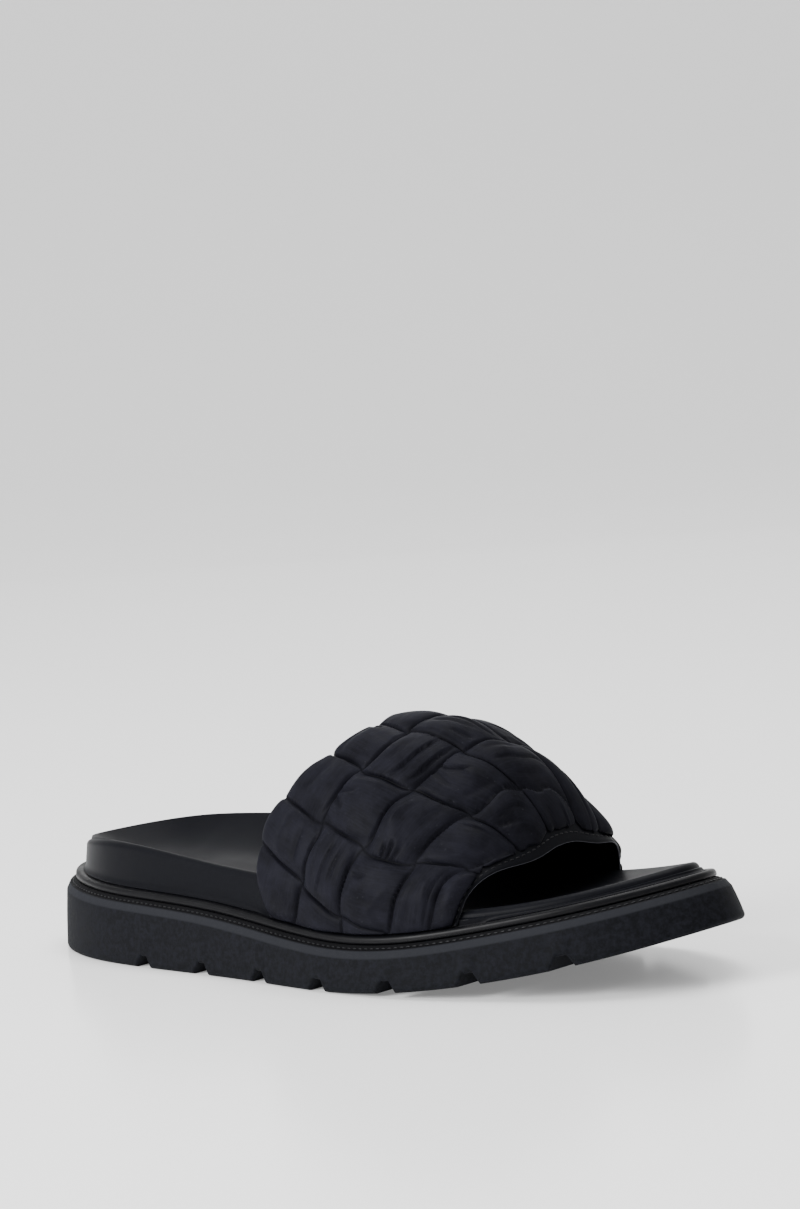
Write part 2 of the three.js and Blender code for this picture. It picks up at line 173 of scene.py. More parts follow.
# Place of crossing (along, row) of the weave
CROSSING_FROM = 0.4595
CROSSING_START = 0.0925
PER_ALONG = -0.0944
PER_ROW = 0.1065
PER_BOTH = 0.0181
PER_BEND = 0.0122

# Where each pad in view lies off that even weave: ahead in millimetres, and up the girth
NUDGES = np.array([
    # along, row, ahead, up
    [0, 0, 4.4, -0.035],
    [0, 1, 0.0, -0.017],
    [1, 1, -2.7, -0.012],
    [2, 1, -5.3, -0.023],
    [3, 1, 1.9, -0.012],
    [0, 2, 0.2, 0.000],
    [1, 2, -2.5, -0.007],
    [2, 2, 0.5, -0.035],
    [3, 2, 7.2, -0.033],
    [0, 3, -4.9, 0.028],
    [1, 3, 5.9, -0.012],
    [2, 3, 6.9, -0.046],
    [3, 3, 4.4, 0.004],
    [1, 4, 3.5, -0.029],
    [2, 4, 4.0, -0.041],
    [3, 4, 0.5, 0.020],
])
NUDGE_REACH = 14.0
NUDGE_GIRTH = 0.065
NUDGE_FADE = 0.25

# Creases laid over the straps, in crossings of the weave: from one end to the other,
# width and depth in millimetres.
# fold is 1 where one bank is steep, as on a pleat laid over its neighbour.
CREASES = np.array([
    # along, row, along, row, width, depth, fold
    [0.02, 0.55, -0.06, 1.55, 1.8, -0.35, 0],
    [0.30, 0.70, 0.22, 1.35, 1.2, 0.45, 0],
    [0.94, 0.58, 0.99, 1.45, 0.7, 0.50, 1],
    [1.16, 0.85, 1.19, 1.50, 0.7, 0.40, 1],
    [0.78, 0.60, 0.74, 1.20, 1.8, 0.22, 0],
    [1.04, 2.55, 1.10, 3.50, 0.8, 0.95, 1],
    [1.33, 2.60, 1.36, 3.50, 0.8, 0.90, 1],
    [0.76, 2.70, 0.84, 3.30, 1.7, 0.25, 0],
    [0.46, 2.04, 0.92, 2.20, 1.2, 0.55, 0],
    [0.46, 1.94, 0.86, 1.84, 1.1, 0.45, 0],
    [0.60, 2.30, 1.20, 2.36, 1.5, -0.30, 0],
    [2.00, 1.42, 1.97, 1.78, 0.8, 0.85, 0],
    [1.93, 1.42, 1.84, 1.72, 0.7, 0.60, 0],
    [2.08, 1.42, 2.15, 1.74, 0.7, 0.50, 0],
    [1.60, 2.30, 2.10, 1.60, 2.6, -0.35, 0],
    [1.72, 1.95, 1.80, 2.42, 1.3, -0.35, 0],
    [2.25, 2.00, 2.16, 2.42, 1.8, 0.30, 0],
    [1.44, 3.03, 1.98, 3.20, 1.2, 0.75, 1],
    [1.44, 2.94, 1.96, 2.82, 1.1, 0.50, 0],
    [1.86, 3.16, 2.24, 3.06, 1.2, -0.40, 0],
    [2.20, 2.72, 2.42, 3.20, 1.5, 0.30, 0],
    [2.62, 2.26, 3.20, 2.30, 1.0, 0.45, 1],
    [2.58, 1.84, 3.10, 1.72, 1.5, 0.28, 0],
    [3.34, 1.86, 3.16, 2.30, 1.7, 0.30, 0],
    [2.80, 0.60, 2.90, 1.35, 1.8, 0.28, 0],
    [3.28, 0.62, 3.26, 1.40, 0.9, 0.60, 1],
    [3.05, 1.30, 3.20, 0.85, 1.5, -0.25, 0],
    [1.70, 0.95, 2.35, 0.92, 1.6, 0.30, 0],
    [1.58, 1.16, 1.90, 1.20, 1.0, 0.50, 0],
    [2.10, 0.75, 2.38, 1.10, 1.4, -0.25, 0],
    [2.88, 2.60, 2.84, 3.35, 1.0, 0.55, 1],
    [3.20, 2.60, 3.16, 3.10, 1.2, 0.45, 0],
    [3.02, 2.55, 3.05, 2.90, 0.9, 0.70, 0],
    [2.02, 3.60, 2.04, 4.45, 1.0, 0.60, 1],
    [1.74, 3.70, 1.78, 4.30, 1.6, 0.30, 0],
    [2.28, 3.62, 2.30, 4.20, 1.2, 0.40, 0],
    [0.58, 3.92, 1.30, 4.10, 1.3, 0.40, 0],
    [0.62, 4.20, 1.42, 4.26, 1.0, 0.60, 1],
    [1.10, 3.78, 1.46, 3.86, 1.0, 0.50, 0],
    [2.62, 4.08, 3.40, 4.14, 0.9, 0.80, 1],
    [2.60, 3.84, 3.30, 3.80, 1.2, 0.45, 0],
    [-0.02, 2.60, 0.04, 3.40, 1.4, 0.30, 0],
    [0.24, 3.30, -0.10, 3.36, 1.0, 0.55, 0],
    [-0.12, 1.70, -0.02, 2.40, 1.6, 0.35, 0],
    [0.05, 4.62, 0.10, 5.40, 1.1, 0.55, 1],
    [1.02, 4.60, 1.06, 5.45, 1.0, 0.60, 1],
    [1.30, 4.66, 1.34, 5.30, 1.2, 0.40, 0],
    [1.62, 5.06, 2.36, 5.12, 1.1, 0.60, 1],
    [2.06, 5.60, 2.10, 6.40, 1.1, 0.55, 1],
    [1.00, 6.62, 1.06, 7.40, 1.1, 0.50, 1],
    [0.10, 6.60, 0.16, 7.30, 1.3, 0.40, 0],
])
# Every crease is made this many times as deep as its row says, with crossings 22 mm apart
CREASE_DEEPER = 1.45
CREASE_CELL = 22.0

# Small pleats, their height and how many lie across a strap; then each pad's own tilt and lift
PLEAT_DEPTH = 0.045
PLEATS_ACROSS = 2.6
PAD_TILT = 0.8
PAD_LIFT = 0.3

# The tuck where two straps are level, how soon it dies out as one rises over the other, and
# the height that the hollow corners are filled to
TUCK_DEPTH = 2.0
TUCK_WIDTH = 0.32
CORNER_FILL = 2.4
CORNER_HARDNESS = 4

# Shade of the cloth in a hollow, the relief over which it fades, and in a crease
HOLLOW_SHADE = 0.5
HOLLOW_SPAN = 0.2, 2.6
CREASE_SHADE = 0.6

# Cloth in one crossing in millimetres, and what keeps the straps' cloth apart
CLOTH_CELL = 24.0
NEXT_STRAP = 60
LONG_STRAPS = 500


# Numbers along a curve

def spline(knots, values, period=0.0):
    """Smooth curve through values at knots: on each span the cubic whose second derivative
    runs straight between the knots' own. Those solve the three-term equations of a natural
    spline, or of a periodic one. Outside its knots a natural one keeps its end values."""
    x = np.append(knots, knots[0] + period) if period else np.asarray(knots, float)
    y = np.append(values, values[0]) if period else np.asarray(values, float)
    step = np.diff(x)
    rise = np.diff(y) / step
    count = len(knots)
    table = np.zeros((count, count))
    right = np.zeros(count)
    for i in range(count):
        if not period and i in (0, count - 1):
            table[i, i] = 1
            continue
        before = i - 1 if i else count - 1
        table[i, before] += step[before]
        table[i, i] += 2 * (step[before] + step[i])
        table[i, (i + 1) % count] += step[i]
        right[i] = 6 * (rise[i] - rise[before])
    bend = np.linalg.solve(table, right)
    if period:
        bend = np.append(bend, bend[0])

    def curve(at):
        at = np.asarray(at, float)
        place = (at - x[0]) % period + x[0] if period else np.clip(at, x[0], x[-1])
        i = np.clip(np.searchsorted(x, place, side="right") - 1, 0, len(step) - 1)
        b = (place - x[i]) / step[i]
        a = 1 - b
        cubic = ((a ** 3 - a) * bend[i] + (b ** 3 - b) * bend[i + 1]) * step[i] ** 2 / 6
        return a * y[i] + b * y[i + 1] + cubic

    return curve


def eased(value, low, high):
    """Runs from 0 at low to 1 at high along 3t squared less 2t cubed."""
    t = np.clip((value - low) / (high - low), 0, 1)
    return t * t * (3 - 2 * t)


def way_along(line):
    """Distance of each point of a line from its first."""
    return np.concatenate([[0], np.cumsum(np.linalg.norm(np.diff(line, axis=0), axis=1))])


def read_along(values, way, where):
    """Rows of values, held at the distances way, read at others."""
    return np.stack([np.interp(where, way, column) for column in values.T], -1)


def angle_at(share):
    """Angle at which the outline has come that share of the length."""
    return np.arccos(1 - 2 * np.asarray(share, float))


half_width = spline(
    np.concatenate([
        [0], angle_at(OUTLINE[:, 0]), [np.pi], 2 * np.pi - angle_at(OUTLINE[::-1, 0]),
    ]),
    np.concatenate([[HEEL_BACK], -OUTLINE[:, 1], [TOE_TIP], OUTLINE[::-1, 2]]),
    2 * np.pi,
)
wall_share = spline(SIDE[:, 0], SIDE[:, 1])
rim_share = spline(SIDE[:, 0], SIDE[:, 2])
floor_share = spline(SIDE[:, 0], SIDE[:, 3])
section_of = [spline(SECTIONS[:, 0], SECTIONS[:, k]) for k in range(1, 7)]
band_rear = spline(BAND_REAR[:, 0], SOLE_LENGTH * BAND_REAR[:, 1])
band_front = spline(BAND_FRONT[:, 0], SOLE_LENGTH * BAND_FRONT[:, 1])


# Places on the flat sole

def on_outline(angle):
    """The angle turns once round the sole: x is half the length times 1 less its cosine,
    and y the ball width times the outline's half width there."""
    return SOLE_LENGTH * (1 - np.cos(angle)) / 2, BALL_WIDTH * half_width(angle)


def inset_point(angle, inset):
    """Point of the outline moved along its left normal, which points inwards, by inset."""
    reach = 1e-4
    xa, ya = on_outline(angle + reach)
    xb, yb = on_outline(angle - reach)
    size = np.hypot(xa - xb, ya - yb)
    x, y = on_outline(angle)
    return x - (ya - yb) / size * inset, y + (xa - xb) / size * inset


def inset_across(x, side, inset):
    """y of the inset outline at a given x on one side, by four Newton steps on its angle."""
    share = np.clip(np.asarray(x, float) / SOLE_LENGTH, 0, 1)
    angle = np.where(np.asarray(side) < 0, angle_at(share), 2 * np.pi - angle_at(share))
    for _ in range(4):
        miss = x - inset_point(angle, inset)[0]
        angle = angle + miss / (np.sin(angle) * SOLE_LENGTH / 2)
    return inset_point(angle, inset)[1]


def sprung(x, y, height):
    """Lifts the toe end by the spring times the square of the reach past its start, and
    keeps heights square to the lifted sole. Returns points in millimetres."""
    reach = np.maximum(x / SOLE_LENGTH - SPRING_START, 0) / (1 - SPRING_START)
    slope = 2 * TOE_SPRING * reach / (SOLE_LENGTH * (1 - SPRING_START))
    tip = np.arctan(slope)
    lift = TOE_SPRING * reach ** 2
    y = np.broadcast_to(y, np.shape(x))
    return np.stack([x - height * np.sin(tip), y, lift + height * np.cos(tip)], -1)


def wall_top(x):
    return HEEL_WALL * wall_share(x / SOLE_LENGTH)


def ledge_top(x):
    return wall_top(x) + LEDGE_HEIGHT


def welt_bottom(x):
    return ledge_top(x) + CLEARANCE


def welt_top(x):
    return welt_bottom(x) + WELT_RISE


def band_seat(x):
    return welt_top(x) + CLEARANCE


def rim_at(x, inner_side):
    """Height of the footbed's rim, with a bell-shaped hump for the arch on the inner side."""
    share = x / SOLE_LENGTH
    hump = np.exp(-(((share - ARCH_AT) / ARCH_REACH) ** 2))
    return RIM_HEIGHT * rim_share(share) + ARCH_RAISE * hump * inner_side


def rim_top(x, angle):
    """The same by the outline's angle, the hump growing in from the ends of the sole."""
    return rim_at(x, np.clip(-3 * np.sin(angle), 0, 1))


outsole_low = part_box("outsole")[0]
outer_side = on_outline(np.linspace(0, 2 * np.pi, 2000))[1].min()
SHIFT = np.array([outsole_low.x * 1000, outsole_low.y * 1000 - outer_side, 0.0])


def placed(points):
    """Millimetres from the heel to metres in the frame of the CAD model."""
    return (np.asarray(points, float) + SHIFT) / 1000


# Meshes

def put(name, data):
    """One object in the scene."""
    holder = bpy.data.objects.new(name, data)
    bpy.context.scene.collection.objects.link(holder)
    return holder


def mesh_piece(name, points, faces, uv=None, facts=None, sharp=180):
    """One smooth object from points in millimetres and faces, each a run of point numbers,
    sharp where faces meet at more than that angle. uv holds a pair per point in millimetres,
    and facts named numbers per point."""
    mesh = bpy.data.meshes.new(name)
    mesh.from_pydata(placed(points), [], [list(face) for face in faces], shade_flat=False)
    mesh.validate()
    if uv is not None:
        layer = mesh.uv_layers.new(name="cloth")
        order = np.zeros(len(mesh.loops), np.int32)
        mesh.loops.foreach_get("vertex_index", order)
        layer.data.foreach_set("uv", (np.asarray(uv, float)[order] / 1000).ravel())
    for label, values in (facts or {}).items():
        attribute = mesh.attributes.new(label, "FLOAT", "POINT")
        attribute.data.foreach_set("value", np.asarray(values, np.float32).ravel())
    if sharp < 180:
        mesh.set_sharp_from_angle(angle=math.radians(sharp))
    return put(name, mesh)


def net_faces(rows, cols, close_rows=False, close_cols=False):
    """Quads between neighbouring points of a net whose points run row by row."""
    r = np.arange(rows if close_rows else rows - 1)
    c = np.arange(cols if close_cols else cols - 1)
    r, c = np.meshgrid(r, c, indexing="ij")
    r2, c2 = (r + 1) % rows, (c + 1) % cols
    quads = np.stack([r * cols + c, r * cols + c2, r2 * cols + c2, r2 * cols + c], -1)
    return quads.reshape(-1, 4)


def cap_faces(count, start, upwards):
    """Quads straight across a ring whose point k lies opposite point count less k."""
    k = np.arange(count // 2)
    a, b = start + k, start + k + 1
    c, d = start + (count - k - 1) % count, start + (count - k) % count
    quads = np.stack([a, b, c, d] if upwards else [d, c, b, a], -1)
    return [q[np.sort(np.unique(q, return_index=True)[1])] for q in quads]


def merged(piece, gap, turn_out=False):
    """Joins points that lie within gap, in metres, which closes seams and poles."""
    shell = bmesh.new()
    shell.from_mesh(piece.data)
    bmesh.ops.remove_doubles(shell, verts=shell.verts, dist=gap)
    if turn_out:
        bmesh.ops.recalc_face_normals(shell, faces=shell.faces)
    shell.to_mesh(piece.data)
    shell.free()
    return piece


def finished(piece, slot, look, *nodes):
    """Gives the piece its material, and puts it on the shoe in place of its nodes. The slot is
    not used.
    """
    piece.data.materials.append(look)
    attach(piece, "root")
    if nodes:
        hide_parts(*nodes)
    return piece


# Materials

def tone(code):
    """Linear colour from an sRGB hex value."""
    parts = [int(code[k:k + 2], 16) / 255 for k in (1, 3, 5)]
    linear = [p / 12.92 if p <= 0.04045 else ((p + 0.055) / 1.055) ** 2.4 for p in parts]
    return (*linear, 1.0)


def per_metre(millimetres):
    """Repeats in one metre of a detail of that size."""
    return 1000.0 / millimetres


def add(tree, kind, links=None, **settings):
    """Adds a node. links names its sockets: a socket given there is linked, and any other
    value is set. settings are the node's own properties."""
    node = tree.nodes.new(kind)
    for name, value in settings.items():
        setattr(node, name, value)
    for name, value in (links or {}).items():
        if isinstance(value, bpy.types.NodeSocket):
            tree.links.new(value, node.inputs[name])
        else:
            node.inputs[name].default_value = value
    return node


def material(name):
    made = bpy.data.materials.new(name)
    made.use_nodes = True
    made.node_tree.nodes.clear()
    return made, made.node_tree


def surfaced(made, sockets):
    """Ends the material with one shader that has those sockets."""
    tree = made.node_tree
    shader = add(tree, "ShaderNodeBsdfPrincipled", sockets)
    add(tree, "ShaderNodeOutputMaterial", {"Surface": shader.outputs["BSDF"]})
    return made


def place_on(tree):
    """Place of a point on its own object, in metres."""
    return add(tree, "ShaderNodeTexCoord").outputs["Object"]


def fact(tree, name):
    """A number that the mesh holds per point; 0 on a mesh without it."""
    return add(tree, "ShaderNodeAttribute", attribute_name=name).outputs["Fac"]


def noise(tree, size, detail, rough, where=None):
    """A value from 0 to 1 in patches of that size in millimetres."""
    node = add(tree, "ShaderNodeTexNoise", {
        "Vector": where or place_on(tree), "Scale": per_metre(size), "Detail": detail,
        "Roughness": rough,
    })
    return node.outputs["Fac"]


def bump(tree, height, strength, distance, *under):
    """Normal bent by a height, in metres, on top of the normal under it."""
    links = {"Height": height, "Strength": strength, "Distance": distance}
    if under:
        links["Normal"] = under[0]
    return add(tree, "ShaderNodeBump", links).outputs["Normal"]


def blend_of(tree, factor, first, second):
    """Colour that runs from first to second with factor."""
    mix = add(tree, "ShaderNodeMix", {0: factor, 6: first, 7: second}, data_type="RGBA")
    return mix.outputs[2]


def span(tree, value, low, high, to_low, to_high):
    """Straight map of a value from one span to another, held at both ends."""
    node = add(tree, "ShaderNodeMapRange", {
        "Value": value, "From Min": low, "From Max": high, "To Min": to_low, "To Max": to_high,
    })
    return node.outputs["Result"]


def foam_rubber():
    """Black EVA foam, moulded: matt and a little cloudy, with the mould's grain in grey
    specks. The bevel along the top is coloured paler, and the slope behind it darker."""
    made, tree = material("moulded_eva_foam")
    grain = noise(tree, 1.6, 5.0, 0.7)
    cloud = noise(tree, 24, 3.0, 0.55)
    clouded = blend_of(tree, cloud, tone("#030407"), tone("#08090c"))
    foam = blend_of(tree, span(tree, grain, 0.4, 0.62, 0.0, 1.0), clouded, tone("#111217"))
    # The bevel is coloured paler than the wall
    paler_bevel = blend_of(tree, fact(tree, "bevel"), foam, tone("#1c1d21"))
    coarse = bump(tree, cloud, 0.15, 0.0006)
    return surfaced(made, {
        "Base Color": blend_of(tree, fact(tree, "slope"), paler_bevel, tone("#060608")),
        "Roughness": span(tree, grain, 0.3, 0.7, 0.66, 0.8),
        "IOR": 1.49, "Specular IOR Level": 0.08,
        "Normal": bump(tree, grain, 0.5, 0.00025, coarse),
    })


def bead_rubber():
    """Extruded vinyl bead: smooth and half glossy, uneven where it was drawn."""
    made, tree = material("extruded_vinyl_bead")
    drag = noise(tree, 5, 3.0, 0.5)
    return surfaced(made, {
        "Base Color": blend_of(tree, drag, tone("#050507"), tone("#08080b")),
        "Roughness": span(tree, drag, 0.3, 0.7, 0.36, 0.48),
        "IOR": 1.53, "Specular IOR Level": 0.1, "Coat Weight": 0.02, "Coat Roughness": 0.25,
        "Normal": bump(tree, drag, 0.25, 0.0002),
    })


def grained_leather(name, dark, light, grain_mm, rough):
    """Coated leather, pressed with a fine pebble grain, and softly uneven in height and
    gloss where it is drawn over a form. A painted highlight colours its turned edge paler."""
    made, tree = material(name)
    pebble = add(tree, "ShaderNodeTexVoronoi", {
        "Vector": place_on(tree), "Scale": per_metre(grain_mm), "Randomness": 0.9,
    }, feature="DISTANCE_TO_EDGE").outputs["Distance"]
    pore = noise(tree, 0.9, 5.0, 0.65)
    drawn = noise(tree, 30, 2.0, 0.5)
    normal = bump(tree, pebble, 0.2, 0.0001)
    normal = bump(tree, pore, 0.22, 0.0001, normal)
    hide = blend_of(tree, pore, tone(dark), tone(light))
    return surfaced(made, {
        # Painted highlight: paler colour where the edge attribute marks the turned edge
        "Base Color": blend_of(tree, fact(tree, "edge"), hide, tone("#5e5f66")),
        "Roughness": span(tree, drawn, 0.35, 0.65, rough - 0.04, rough + 0.05),
        "IOR": 1.5, "Specular IOR Level": 0.04,
        "Normal": bump(tree, drawn, 0.2, 0.0008, normal),
    })


def strap_satin():
    """Polyester satin with a short nap. Streaks of floating threads run along each strap,
    the nap stands up or lies flat in patches, and a little lint lies on it. Painted shade
    darkens the cloth by the fold attribute: near black in the grooves and creases, and
    darker where the pads are low. The wave counts radians, so its ribs of threads are
    2.8 mm apart. The stretched place counts patches, of 0.5 by 9 mm."""
    made, tree = material("napped_black_satin")
    cloth = add(tree, "ShaderNodeUVMap", uv_map="cloth").outputs["UV"]
    ribs = add(tree, "ShaderNodeTexWave", {
        "Vector": cloth, "Scale": per_metre(0.45) / 20, "Distortion": 1.2, "Detail": 2.0,
        "Detail Scale": 2.0,
    }).outputs["Fac"]
    stretched = add(tree, "ShaderNodeMapping", {
        "Vector": cloth, "Scale": (per_metre(0.5), per_metre(9), 1.0),
    }).outputs["Vector"]
    floats = noise(tree, 1000, 3.0, 0.6, stretched)
    nap = noise(tree, 9, 5.0, 0.68)
    crinkle = noise(tree, 4.5, 2.0, 0.5)
    dust = noise(tree, 1.3, 1.0, 0.5)
    normal = bump(tree, ribs, 0.12, 0.00008)
    normal = bump(tree, floats, 0.3, 0.00012, normal)
    brushed_up = span(tree, nap, 0.36, 0.64, 0.0, 1.0)
    streak = span(tree, floats, 0.4, 0.7, 0.0, 0.3)
    lint = span(tree, dust, 0.74, 0.8, 0.0, 0.5)
    laid = blend_of(tree, brushed_up, tone("#0c0c10"), tone("#15151b"))
    open_cloth = blend_of(tree, streak, laid, tone("#1e1e26"))
    # Painted shade: near black where the fold attribute marks a groove, hollow or crease
    cloth_in_painted_shade = blend_of(tree, fact(tree, "fold"), open_cloth, tone("#010103"))
    return surfaced(made, {
        "Base Color": blend_of(tree, lint, cloth_in_painted_shade, tone("#26272b")),
        "Roughness": span(tree, nap, 0.3, 0.7, 0.5, 0.6),
        "IOR": 1.46, "Specular IOR Level": 0.035,
        "Sheen Weight": 0.02, "Sheen Roughness": 0.35, "Sheen Tint": tone("#7f8cb0"),
        "Normal": bump(tree, crinkle, 0.28, 0.0007, normal),
    })


def sewing_thread():
    """Bonded polyester thread: twisted strands with a slight wax shine."""
    made, tree = material("bonded_sewing_thread")
    twist = noise(tree, 0.8, 2.0, 0.5)
    return surfaced(made, {
        "Base Color": blend_of(tree, twist, tone("#08080a"), tone("#121216")),
        "Roughness": 0.42, "IOR": 1.5, "Specular IOR Level": 0.2,
        "Normal": bump(tree, twist, 0.5, 0.0001),
    })


def studio_paper():
    """Seamless coated paper: pale, with a soft reflection of what stands on it."""
    return surfaced(material("coated_studio_paper")[0], {
        "Base Color": tone("#fafafa"), "Roughness": 0.2, "Specular IOR Level": 0.5,
        "Emission Color": tone("#ffffff"), "Emission Strength": 0.2,
    })


foam = foam_rubber()
bead = bead_rubber()
footbed_leather = grained_leather("coated_footbed_leather", "#0a0a0d", "#101115", 0.9, 0.42)
lining_leather = grained_leather("lining_leather", "#0a0a0d", "#101115", 0.8, 0.36)
satin = strap_satin()
thread = sewing_thread()


# Sole

GROOVE_PROFILE = np.array([
    0, GROOVE_REAR_LEAN, GROOVE_REAR_LEAN + GROOVE_ROOF, GROOVE_MOUTH,
])
GROOVES = HEEL_BLOCK + LUG_PITCH * np.arange(GROOVE_COUNT)


def groove_height(x):
    """Height of the tread above the floor line: 0 on the lugs, and in each groove a rise
    along the leaning rear bank, a level roof and a fall along the front bank."""
    banks = [0, GROOVE_DEPTH, GROOVE_DEPTH, 0]
    return sum(np.interp(x, rear + GROOVE_PROFILE, banks) for rear in GROOVES)


def both_sides(half):
    """Angles once round the outline from those of its outer half."""
    return np.concatenate([half, 2 * np.pi - half[-2:0:-1]])


def turn_with_grooves():
    """Angles once round the outline, the same on both sides, with one at each groove corner."""
    half = np.linspace(0, np.pi, 381)
    exact = angle_at((GROOVES[:, None] + GROOVE_PROFILE).ravel() / SOLE_LENGTH)
    half = half[np.abs(half[:, None] - exact[None, :]).min(1) > 0.002]
    return both_sides(np.sort(np.concatenate([half, exact])))


def build_outsole():
    """Rings stacked from the tread up: a rounded lower edge, the drafted wall, the paler
    bevel, and the slope that carries the welt's stitches in a shallow channel."""
    angle = turn_with_grooves()
    x0 = on_outline(angle)[0]
    tread = groove_height(x0)
    top = wall_top(x0)
    ledge = top + LEDGE_HEIGHT
    edge = WALL_DRAFT + BEVEL_WIDTH
    count = len(angle)
    rows, bevel, slope = [], [], []

    def ring(inset, height, on_bevel=0.0, on_slope=0.0):
        rows.append(sprung(*inset_point(angle, inset), height))
        bevel.append([on_bevel] * count)
        slope.append([on_slope] * count)

    for turn in np.linspace(0, np.pi / 2, 5):
        ring(SOLE_EDGE_ROUND * (1 - np.sin(turn)), tread + SOLE_EDGE_ROUND * (1 - np.cos(turn)))
    low = tread + SOLE_EDGE_ROUND
    for share in np.linspace(0.08, 1, 12):
        sag = 0.12 * np.sin(np.pi * share)
        ring(WALL_DRAFT * share - sag, low + (top - 0.25 - low) * share)
    ring(WALL_DRAFT + 0.1, top + 0.05, 0.7)
    ring(WALL_DRAFT + 0.3, top + 0.35, 1.0)
    ring(edge - 0.2, top + BEVEL_HEIGHT - 0.25, 1.0)
    ring(edge, top + BEVEL_HEIGHT, 0.6, 0.4)
    for share in np.linspace(0.12, 1, 9):
        dip = STITCH_CHANNEL * np.exp(-(((share - 0.45) / 0.22) ** 2))
        ring(edge + (WELT_INSET - edge) * share,
             top + BEVEL_HEIGHT + (ledge - top - BEVEL_HEIGHT) * share - dip, 0.0, 1.0)
    ring(WELT_INSET + 1.5, ledge, 0.0, 1.0)
    faces = list(net_faces(len(rows), count, close_cols=True))
    faces += cap_faces(count, 0, upwards=False)
    faces += cap_faces(count, (len(rows) - 1) * count, upwards=True)
    return mesh_piece("outsole_foam", np.concatenate(rows), faces,
                      facts={"bevel": bevel, "slope": slope}, sharp=32)


def build_welt():
    """A tube round the ledge: flat below, with the outer shoulder a quarter of a rounded
    square and the top falling a little towards the footbed."""
    angle = np.linspace(0, 2 * np.pi, 760, endpoint=False)
    x = on_outline(angle)[0]
    base = welt_bottom(x)
    profile = [(WELT_WIDTH, 0.0), (WELT_WIDTH * 0.5, 0.0), (0.25, 0.0), (0.05, 0.12)]
    for turn in np.linspace(0, np.pi / 2, 9):
        profile.append((WELT_WIDTH * 0.5 * (1 - np.cos(turn) ** 0.8),
                        WELT_RISE * (0.35 + 0.65 * np.sin(turn) ** 0.8)))
    for share in (0.25, 0.5, 0.75, 1.0):
        profile.append((WELT_WIDTH * (0.5 + 0.5 * share), WELT_RISE * (1 - 0.1 * share ** 2)))
    rows = [sprung(*inset_point(angle, WELT_INSET + p), base + h) for p, h in profile]
    faces = net_faces(len(rows), len(angle), close_rows=True, close_cols=True)
    return mesh_piece("welt_bead", np.concatenate(rows), faces, sharp=60)


# Footbed

def build_footbed():
    """Wall with a hollow fillet at its foot, which is left out beside the band, a rounded
    rim, and a bed that sinks from the rim to the centre line as (1 less the share of the
    way) to the power 2.4."""
    angle = both_sides(np.linspace(0, np.pi, 361))
    x0 = on_outline(angle)[0]
    share = x0 / SOLE_LENGTH
    beside_band = eased(share, 0.41, 0.44) * (1 - eased(share, 0.785, 0.81))
    rim = rim_top(x0, angle)
    set_in = 0.15
    foot = welt_top(x0) + 0.12
    lean = FOOTBED_INSET + FOOTBED_LEAN
    shoulder = rim - RIM_ROUND
    tall = np.minimum(FILLET_HEIGHT, 0.8 * (shoulder - foot))
    flare = FILLET_REACH * (1 - beside_band)
    rows = []

    def ring(inset, height):
        rows.append(sprung(*inset_point(angle, inset), height))

    ring(FOOTBED_INSET, ledge_top(x0) + CLEARANCE)
    ring(FOOTBED_INSET, welt_top(x0) - 0.35)
    for turn in np.linspace(0, np.pi / 2, 8):
        ring(FOOTBED_INSET + set_in - flare * (1 - np.sin(turn)),
             foot + tall * (1 - np.cos(turn)))
    start = foot + tall
    for share in np.linspace(0.15, 0.95, 7):
        ring(FOOTBED_INSET + set_in + (FOOTBED_LEAN - set_in) * share,
             start + (shoulder - start) * share)
    for turn in np.linspace(0, np.pi / 2, 9)[:-1]:
        ring(lean + RIM_ROUND * (1 - np.cos(turn)), shoulder + RIM_ROUND * np.sin(turn))

    inset = lean + RIM_ROUND
    edge_x, edge_y = inset_point(angle, inset)
    spine_x = np.clip(x0, SPINE_FROM * SOLE_LENGTH, SPINE_TO * SOLE_LENGTH)
    spine_y = (inset_across(spine_x, -1, inset) + inset_across(spine_x, 1, inset)) / 2
    rim = rim_top(edge_x, angle)
    for share in (1 - np.cos(np.linspace(0, np.pi / 2, 34))):
        x = edge_x + (spine_x - edge_x) * share
        y = edge_y + (spine_y - edge_y) * share
        floor = RIM_HEIGHT * floor_share(x / SOLE_LENGTH)
        rows.append(sprung(x, y, floor + (rim - floor) * (1 - share) ** 2.4))
    count = len(angle)
    faces = list(net_faces(len(rows), count, close_cols=True))
    faces += cap_faces(count, 0, upwards=False)
    piece = mesh_piece("footbed_cover", np.concatenate(rows), faces, sharp=60)
    return merged(piece, 2e-5)


# Upper

